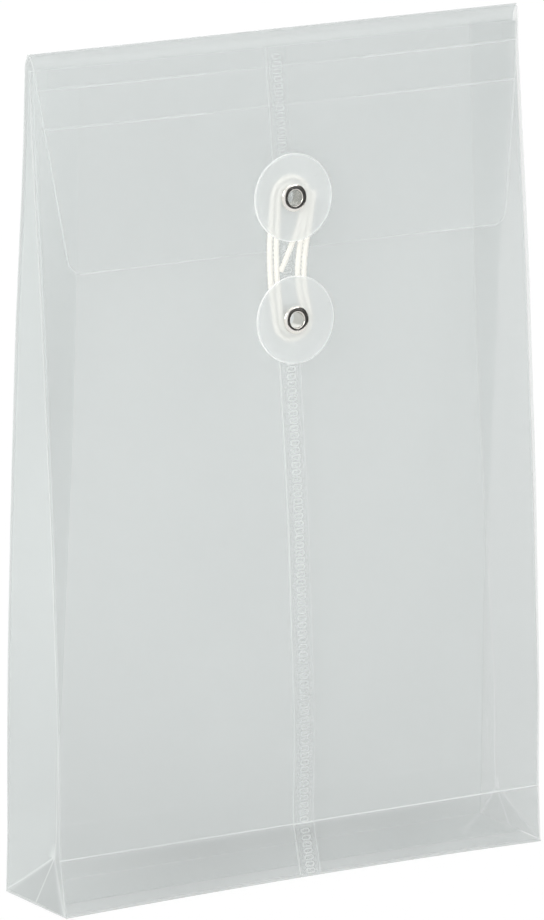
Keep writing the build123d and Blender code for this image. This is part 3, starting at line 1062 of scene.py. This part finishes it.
class ENVELOPE_OT_flap(bpy.types.Operator):
    """Add the flap: its half of the top fold, the strips between its scores and its long panel"""

    bl_idname = "envelope.flap"
    bl_label = "Flap"
    bl_options = {"REGISTER", "UNDO"}

    def add_part(self, plan, name, low, high, step, scores):
        """Part of the flap between two heights, with its cut sides and score lines."""
        side = plan.half_width
        rows = loops(low, high, step, (low, high), plan.sizes.crease_width)
        if low == plan.fold_top - plan.sizes.flap_drop:
            corner = plan.sizes.flap_corner
            rows += [low + corner * (1 - math.cos(math.radians(turn))) for turn in range(9, 90, 9)]
            rows.sort()
        lines = lines_up(low, high, FLAP_SIDE_WHITE, -side, side)
        # A score is fainter over the middle of the flap than towards its ends.
        faint, clear_to = 0.4, 0.35
        for row, white in scores:
            lines += lines_across(-side, side, faint * white, row)
            for end in (-side, side):
                lines += lines_across(end, clear_to * end, white, row)
        return add_film(plan, name, full_columns(plan), rows, lines, plan.flap_point)

    def execute(self, context):
        plan = Layout(context)
        upper = plan.fold_top - plan.sizes.upper_score
        lower = plan.fold_top - plan.sizes.lower_score
        lowest = plan.fold_top - plan.sizes.flap_drop
        over = plan.flap_level * math.pi / 2
        piece = self.add_part(plan, "flap_fold_film", 0, over, FLAP_ROUND_STEP, ())
        finish_film(plan, piece, "front", "flap_top", "flap_top_fold")
        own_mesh(piece)
        scores = ((upper, FLAP_SCORE_WHITE),)
        piece = self.add_part(plan, "flap_strip_film", upper, 0, STRIP_STEP, scores)
        finish_film(plan, piece, "front", "flap_top", "flap_top_strip")
        scores = ((upper, FLAP_SCORE_WHITE), (lower, FLAP_SCORE_WHITE))
        piece = self.add_part(plan, "flap_middle_film", lower, upper, STRIP_STEP, scores)
        finish_film(plan, piece, "front", "flap_middle", "flap_middle_strip")
        scores = ((lower, FLAP_SCORE_WHITE), (lowest, FLAP_EDGE_WHITE))
        piece = self.add_part(plan, "flap_end_film", lowest, lower, STRIP_STEP, scores)
        punch(plan, piece, plan.upper_button, plan.flap_level)
        finish_film(plan, piece, "front", "flap_end", "flap_panel")
        return {"FINISHED"}


class ENVELOPE_OT_gussets(bpy.types.Operator):
    """Add the two side gussets, folded in along their creases and fanned out at the foot"""

    bl_idname = "envelope.gussets"
    bl_label = "Side Gussets"
    bl_options = {"REGISTER", "UNDO"}

    def add_gusset(self, plan, word, side):
        """One gusset, as a film from the back edge to the front one."""
        half = plan.gusset_half(side)
        low, high, fan = plan.gusset_foot, plan.gusset_top, plan.sizes.fan_height
        columns = loops(-half, half, GUSSET_STEP, (-half, 0, half), plan.sizes.crease_width)
        rows = loops(low, fan, ROUND_STEP) + loops(fan, high, PANEL_STEP)[1:]
        lines = lines_up(low, fan, FAN_CREASE_WHITE, 0)
        lines += lines_up(fan, high, GUSSET_CREASE_WHITE, 0)
        lines += lines_up(low, high, GUSSET_EDGE_WHITE, -half, half)
        for edge in (-half, half):
            lines.append(((0, fan), (edge, low), FAN_SIDE_WHITE))
            lines.append(((0, fan), (edge, plan.sizes.foot_height), FAN_CREASE_WHITE))
        shade_run = 1.5 * MM
        piece = add_film(
            plan, f"{word}_gusset_film", columns, rows, lines,
            lambda across, z: plan.gusset_point(side, across, z), GUSSET_BREADTH,
            # Painted shade: a mark that darkens the film in the fan's triangle at the foot
            shade=lambda spot: ease((fan * (1 - abs(spot.x) / half) - spot.y) / shade_run),
            turn=lambda spot: ease((spot.x / half + 1) / 2),
        )
        finish_film(plan, piece, f"{word}_gusset", None)
        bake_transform(piece)
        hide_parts(f"{word}_gusset_front", f"{word}_gusset_back")

    def execute(self, context):
        plan = Layout(context)
        for word, side in (("left", -1), ("right", 1)):
            self.add_gusset(plan, word, side)
        return {"FINISHED"}


class ENVELOPE_OT_base(bpy.types.Operator):
    """Add the two lapped base flaps, with the diagonal creases of a folded block base"""

    bl_idname = "envelope.base"
    bl_label = "Base Flaps"
    bl_options = {"REGISTER", "UNDO"}

    def add_flap(self, plan, word, low, height):
        """One base flap, from the back edge forwards to a given depth."""
        side = plan.half_width
        deep = plan.sizes.base_depth / 2
        rows = loops(low, deep, BASE_DEPTH_STEP, (low, deep), plan.sizes.crease_width)
        lines = lines_across(-side, side, BASE_EDGE_WHITE, low)
        lines += lines_across(-side, side, BASE_FOLD_WHITE, deep)
        lines += lines_up(low, deep, BASE_CREASE_WHITE, -side, side)
        for end in (-side, side):
            tip = (end - math.copysign(deep, end), 0)
            lines += [((end, edge), tip, BASE_CREASE_WHITE) for edge in (-deep, deep)]
        piece = add_film(
            plan, f"{word}_base_film", full_columns(plan, BASE_WIDTH_STEP), rows, lines,
            lambda x, y: plan.base_point(x, y, height), BASE_BREADTH,
        )
        finish_film(plan, piece, "base", None, f"base_{word}_flap")
        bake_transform(piece)

    def execute(self, context):
        plan = Layout(context)
        deep = plan.sizes.base_depth / 2
        film = plan.sizes.film
        self.add_flap(plan, "outer", -deep, film / 2)
        self.add_flap(plan, "inner", deep - plan.sizes.base_inner_reach, 1.5 * film)
        return {"FINISHED"}


class ENVELOPE_OT_weld(bpy.types.Operator):
    """Add the ladder of welded links down the front seam"""

    bl_idname = "envelope.weld"
    bl_label = "Welded Seam"
    bl_options = {"REGISTER", "UNDO"}

    # Thickness of a link's bar, as a share of its height, and room left round the clinched rim
    BAR_SHARE = 0.28
    RIM_ROOM = 0.5 * MM

    def add_links(self, plan, name, low, high):
        """Ladder of welded links between two heights of the seam, from one copied link."""
        sizes = plan.sizes
        bar = self.BAR_SHARE * sizes.link_height
        deselect()
        bpy.ops.mesh.primitive_torus_add(
            major_segments=14, minor_segments=5,
            major_radius=(sizes.link_height - bar) / 2, minor_radius=bar / 2,
        )
        piece = named(name)
        spread = (sizes.link_width - sizes.link_height) / 2
        for vertex in piece.data.vertices:
            vertex.co.x += math.copysign(spread, vertex.co.x)
            vertex.co.z *= 2 * sizes.link_relief / bar
        copies = piece.modifiers.new("ladder", "ARRAY")
        copies.count = int((high - low) / sizes.link_pitch)
        copies.use_relative_offset = False
        copies.use_constant_offset = True
        copies.constant_offset_displace = (0, sizes.link_pitch, 0)
        apply_modifiers(piece)
        mark(piece, "whitening", lambda spot: LINK_WHITE)
        surface = plan.lap_level + sizes.film / 2
        start = low + sizes.link_pitch / 2
        for vertex in piece.data.vertices:
            x, y, z = vertex.co
            vertex.co = plan.front_point(x, start + y, surface + z)
        face_outwards(piece)
        finish_film(plan, piece, "front", "front")

    def execute(self, context):
        plan = Layout(context)
        clear = plan.tie.clinch_radius + self.RIM_ROOM
        score = plan.front_score
        self.add_links(plan, "upper_weld_links", plan.lower_button + clear, plan.mouth)
        self.add_links(plan, "lower_weld_links", score, plan.lower_button - clear)
        self.add_links(plan, "foot_weld_links", -plan.front_length, score)
        return {"FINISHED"}


# Tie pieces


class ENVELOPE_OT_buttons(bpy.types.Operator):
    """Add the two clear tie buttons"""

    bl_idname = "envelope.buttons"
    bl_label = "Tie Buttons"
    bl_options = {"REGISTER", "UNDO"}

    def execute(self, context):
        plan = Layout(context)
        tie = plan.tie
        radius = tie.button_diameter / 2
        high = tie.button_thickness
        edge = tie.button_edge
        bore = plan.barrel + tie.button_bore_gap
        rings = [radius * part / 6 for part in range(2, 6)]
        profile = arc((bore + edge, edge), edge, 180, 270, 4)
        profile += [(ring, 0) for ring in rings]
        profile += arc((radius - edge, edge), edge, 270, 360, 6)
        profile += arc((radius - edge, high - edge), edge, 0, 90, 6)
        profile += [(ring, high) for ring in reversed(rings)]
        profile += arc((bore + edge, high - edge), edge, 90, 180, 4)
        for word in ("upper", "lower"):
            piece = spin_ring(f"{word}_disc", profile)
            dress(piece, once("clear_button", button_material, plan.finishes))
            piece.data.materials.append(once("bright_rim", rim_highlight_material, plan.finishes))
            # Faces at the rim take the painted highlight
            for face in piece.data.polygons:
                face.material_index = int(face.center.xy.length > radius - edge)
            along, underside, _ = plan.button_levels(word == "upper")
            stand_on_front(plan, piece, along, underside)
            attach(piece, f"{word}_button")
            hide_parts(f"{word}_button")
        return {"FINISHED"}


class ENVELOPE_OT_eyelets(bpy.types.Operator):
    """Add the two rolled nickel eyelets"""

    bl_idname = "envelope.eyelets"
    bl_label = "Eyelets"
    bl_options = {"REGISTER", "UNDO"}

    # How broad the crowns of the rolled flange and the clinched rim are
    FLANGE_FLATNESS = 2.0
    CLINCH_FLATNESS = 1.3

    def profile(self, plan, film_inner, underside):
        """Closed profile: rolled flange over the button, barrel, clinched rim and bore."""
        tie = plan.tie
        under = underside + tie.button_thickness + tie.flange_gap
        rim = film_inner - plan.sizes.clinch
        lip = (tie.bore, under + tie.wall)
        turn_in = (tie.bore, rim + tie.wall)
        crown = tie.flange_height - tie.wall / 2
        points = rolled(lip, (tie.flange, under), crown, self.FLANGE_FLATNESS, 18)
        points += [(plan.barrel, under), (plan.barrel, film_inner)]
        hook = (rim - film_inner - tie.wall) / 2
        points += rolled((tie.clinch_radius, film_inner), turn_in, hook, self.CLINCH_FLATNESS, 12)
        return points

    def execute(self, context):
        plan = Layout(context)
        for word, body in (("upper", "flap_end"), ("lower", "front")):
            along, underside, film_inner = plan.button_levels(word == "upper")
            piece = spin_ring(f"{word}_eyelet_metal", self.profile(plan, film_inner, underside))
            stand_on_front(plan, piece, along, 0)
            dress(piece, once("nickel_plate", nickel_material, plan.finishes))
            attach(piece, body)
            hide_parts(f"{word}_eyelet")
        return {"FINISHED"}


class ENVELOPE_OT_string(bpy.types.Operator):
    """Add the twisted string, wound in a flat spiral round both eyelets"""

    bl_idname = "envelope.string"
    bl_label = "Tie String"
    bl_options = {"REGISTER", "UNDO"}

    # Bends of a right run: how far out of its line, and how far down between the eyelets
    RIGHT_BENDS = ((1.0 * MM, 0.33), (-0.6 * MM, 0.70))
    # Radius of a strand, which sinks into the others, as a share of the string's
    STRAND_SHARE = 0.68

    def route(self, plan):
        """Control points from the end under the upper button, through the turns, to the free end."""
        tie = plan.tie
        rise = math.hypot(tie.button_spacing, tie.string_fall)
        pitch = tie.string_diameter + tie.turn_gap
        inner = plan.barrel + tie.barrel_gap + tie.string_diameter / 2
        turn_points = 6
        step = math.radians(180 / (turn_points - 1))
        # A smooth spline runs inside its control points, so they stand out by as much.
        stand_out = 1 / math.cos(step / 2)
        flat = [(inner + 2 * pitch, tie.tucked)]
        for turn in (1, 0):
            radius = (inner + turn * pitch) * stand_out
            # The right runs are drawn in between the buttons, and the left ones stand out.
            drawn_in = inner + (turn + 0.5) * pitch - tie.right_slack
            for out_of_line, down in self.RIGHT_BENDS:
                flat.append((drawn_in + out_of_line, -down * rise))
            for index in range(turn_points):
                angle = -step * index
                flat.append((radius * math.cos(angle), -rise + radius * math.sin(angle)))
            flat.append((-radius - tie.left_slack, -0.5 * rise))
            for index in range(turn_points):
                angle = math.pi - step * index
                flat.append((radius * math.cos(angle), radius * math.sin(angle)))
        flat.append((tie.tail_bend_x, tie.tail_bend_y))
        flat.append((tie.tail_x, tie.tail_y))
        fall = tie.string_fall / rise
        drop = tie.button_spacing / rise
        points = []
        for across, up in flat:
            out = plan.upper_string + up * fall
            points.append(plan.on_panel(FRONT_SIDE, across, plan.upper_button + up * drop, out))
        return points

    def add_spline(self, data, kind, points):
        """Spline of a curve through or along points."""
        spline = data.splines.new(kind)
        spline.points.add(len(points) - 1)
        for point, place in zip(spline.points, points):
            point.co = (*place, 1)
        return spline

    def centreline(self, points):
        """Points of the smooth spline along the route."""
        data = bpy.data.curves.new("string_route", "CURVE")
        data.dimensions = "3D"
        data.resolution_u = 26
        spline = self.add_spline(data, "NURBS", points)
        spline.order_u = 3
        spline.use_endpoint_u = True
        holder = bpy.data.objects.new("string_route", data)
        bpy.context.collection.objects.link(holder)
        drawn = holder.evaluated_get(bpy.context.evaluated_depsgraph_get())
        mesh = bpy.data.meshes.new_from_object(drawn)
        line = [vertex.co.copy() for vertex in mesh.vertices]
        bpy.data.objects.remove(holder)
        bpy.data.meshes.remove(mesh)
        return line

    def strand_points(self, plan, line, number, offset):
        """Points of one strand, which twists round the centreline at an offset."""
        tie = plan.tie
        points = []
        travelled = 0.0
        for index, centre in enumerate(line):
            before = line[max(index - 1, 0)]
            after = line[min(index + 1, len(line) - 1)]
            travelled += (centre - before).length
            across = (after - before).cross(plan.out).normalized()
            turned = 2 * math.pi * (travelled / tie.twist + number / tie.strands)
            away = across * math.cos(turned) + plan.out * math.sin(turned)
            points.append(centre + away * offset)
        return points

    def execute(self, context):
        plan = Layout(context)
        tie = plan.tie
        line = self.centreline(self.route(plan))
        strand = self.STRAND_SHARE * tie.string_body / 2
        offset = tie.string_body / 2 - strand
        data = bpy.data.curves.new("tie_string_cord", "CURVE")
        data.dimensions = "3D"
        data.bevel_depth = strand
        data.bevel_resolution = 1
        data.use_fill_caps = True
        for number in range(tie.strands):
            self.add_spline(data, "POLY", self.strand_points(plan, line, number, offset))
        deselect()
        piece = bpy.data.objects.new("tie_string_cord", data)
        context.collection.objects.link(piece)
        piece.select_set(True)
        context.view_layer.objects.active = piece
        bpy.ops.object.convert(target="MESH")
        piece = named("tie_string_cord")
        bpy.ops.object.shade_smooth()
        dress(piece, once("cotton_string", string_material, plan.finishes))
        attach(piece, "flap_end")
        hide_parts("tie_string")
        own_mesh(piece)
        return {"FINISHED"}


# Stage


class ENVELOPE_OT_stage(bpy.types.Operator):
    """Add the pale table, the soft lights, the white surround and the camera"""

    bl_idname = "envelope.stage"
    bl_label = "Stage"
    bl_options = {"REGISTER", "UNDO"}

    def add_floor(self, finishes):
        """Pale table top, white to the camera apart from the envelope's soft shadow."""
        deselect()
        bpy.ops.mesh.primitive_plane_add(size=12, location=(0, 0, CAD_LOW.z - 0.1 * MM))
        floor = named("table")
        material = matt_material("pale_table", finishes.floor, 1.02, 6.0, 80.0)
        tree = material.node_tree
        white_to_camera(tree, tree.nodes["Principled BSDF"], TABLE_WHITE, "Material Output")
        floor.data.materials.append(material)

    def add_world(self, context):
        """Even soft light from all round, white to the camera."""
        world = bpy.data.worlds.new("studio")
        context.scene.world = world
        world.use_nodes = True
        light = world.node_tree.nodes["Background"]
        light.inputs["Color"].default_value = (1, 1, 1, 1)
        light.inputs["Strength"].default_value = WORLD_STRENGTH
        white_to_camera(world.node_tree, light, 1.0, "World Output")

    def add_light(self, context, name, place, size, energy):
        """Soft rectangular light aimed at the middle of the envelope."""
        data = bpy.data.lights.new(name, "AREA")
        data.shape = "RECTANGLE"
        data.size, data.size_y = size
        data.energy = energy
        light = bpy.data.objects.new(name, data)
        light.location = place
        aim = Vector((0, 0, CAD_SIZE.z / 2)) - light.location
        light.rotation_euler = aim.to_track_quat("-Z", "Y").to_euler()
        context.collection.objects.link(light)

    def add_card(self, finishes):
        """Dark card beside the set, seen only in gloss, which gives the metal its contrast."""
        deselect()
        bpy.ops.mesh.primitive_plane_add(
            size=1, location=(0.30, -0.33, 0.20), rotation=(math.pi / 2, 0, math.radians(48))
        )
        card = named("dark_card")
        card.scale = (0.82, 0.50, 1)
        card.data.materials.append(matt_material("card_black", finishes.card, 1.5, 3.0, 60.0))
        card.visible_camera = False
        card.visible_diffuse = False
        card.visible_transmission = False
        card.visible_shadow = False

    def add_camera(self, context):
        """Camera at the photograph's angle, framed for an image of 544 by 920."""
        azimuth, elevation, distance = math.radians(-30.53), math.radians(13.30), 2.4
        image_height, focal_pixels = 920, 8457
        offset_right, offset_down = 4.48, 5.8
        target = Vector((0, 0, 118 * MM))
        towards = Vector((
            math.sin(azimuth) * math.cos(elevation),
            -math.cos(azimuth) * math.cos(elevation),
            math.sin(elevation),
        ))
        data = bpy.data.cameras.new("photo_camera")
        data.sensor_width = 36
        data.lens = data.sensor_width * focal_pixels / image_height
        data.shift_x = -offset_right / image_height
        data.shift_y = offset_down / image_height
        camera = bpy.data.objects.new("photo_camera", data)
        camera.location = target + towards * distance
        camera.rotation_euler = (-towards).to_track_quat("-Z", "Y").to_euler()
        context.collection.objects.link(camera)
        context.scene.camera = camera

    def execute(self, context):
        finishes = context.scene.envelope_finishes
        context.scene.view_settings.view_transform = "Standard"
        # Many layers of film lie behind each other, and each has two clear faces.
        context.scene.cycles.transparent_max_bounces = 48
        self.add_floor(finishes)
        self.add_world(context)
        for name, place, size, energy in LIGHTS:
            self.add_light(context, name, place, size, energy)
        self.add_card(finishes)
        self.add_camera(context)
        return {"FINISHED"}


class ENVELOPE_PT_pieces(bpy.types.Panel):
    """Sidebar list of the envelope's pieces"""

    bl_idname = "ENVELOPE_PT_pieces"
    bl_label = "String Tie Envelope"
    bl_space_type = "VIEW_3D"
    bl_region_type = "UI"
    bl_category = "Envelope"

    def draw(self, context):
        scene = context.scene
        for step in STEPS:
            self.layout.operator(step.bl_idname)
        for group in (scene.envelope_sizes, scene.tie_sizes, scene.envelope_finishes):
            box = self.layout.box()
            for key in group.__annotations__:
                box.prop(group, key)


# The order in which the pieces are made
STEPS = (
    ENVELOPE_OT_stage,
    ENVELOPE_OT_string,
    ENVELOPE_OT_back,
    ENVELOPE_OT_front,
    ENVELOPE_OT_feet,
    ENVELOPE_OT_flap,
    ENVELOPE_OT_gussets,
    ENVELOPE_OT_base,
    ENVELOPE_OT_weld,
    ENVELOPE_OT_buttons,
    ENVELOPE_OT_eyelets,
)
CLASSES = (EnvelopeSizes, TieSizes, Finishes, *STEPS, ENVELOPE_PT_pieces)


def register():
    """Registers the classes and hangs the settings on the scene."""
    for item in CLASSES:
        bpy.utils.register_class(item)
    bpy.types.Scene.envelope_sizes = PointerProperty(type=EnvelopeSizes)
    bpy.types.Scene.tie_sizes = PointerProperty(type=TieSizes)
    bpy.types.Scene.envelope_finishes = PointerProperty(type=Finishes)


def unregister():
    """Takes the settings and classes away again."""
    del bpy.types.Scene.envelope_finishes
    del bpy.types.Scene.tie_sizes
    del bpy.types.Scene.envelope_sizes
    for item in reversed(CLASSES):
        bpy.utils.unregister_class(item)


def main():
    """Makes every piece in order."""
    register()
    bpy.ops.envelope.stage()
    bpy.ops.envelope.string()
    bpy.ops.envelope.back()
    bpy.ops.envelope.front()
    bpy.ops.envelope.feet()
    bpy.ops.envelope.flap()
    bpy.ops.envelope.gussets()
    bpy.ops.envelope.base()
    bpy.ops.envelope.weld()
    bpy.ops.envelope.buttons()
    bpy.ops.envelope.eyelets()


if __name__ == "__main__":
    main()
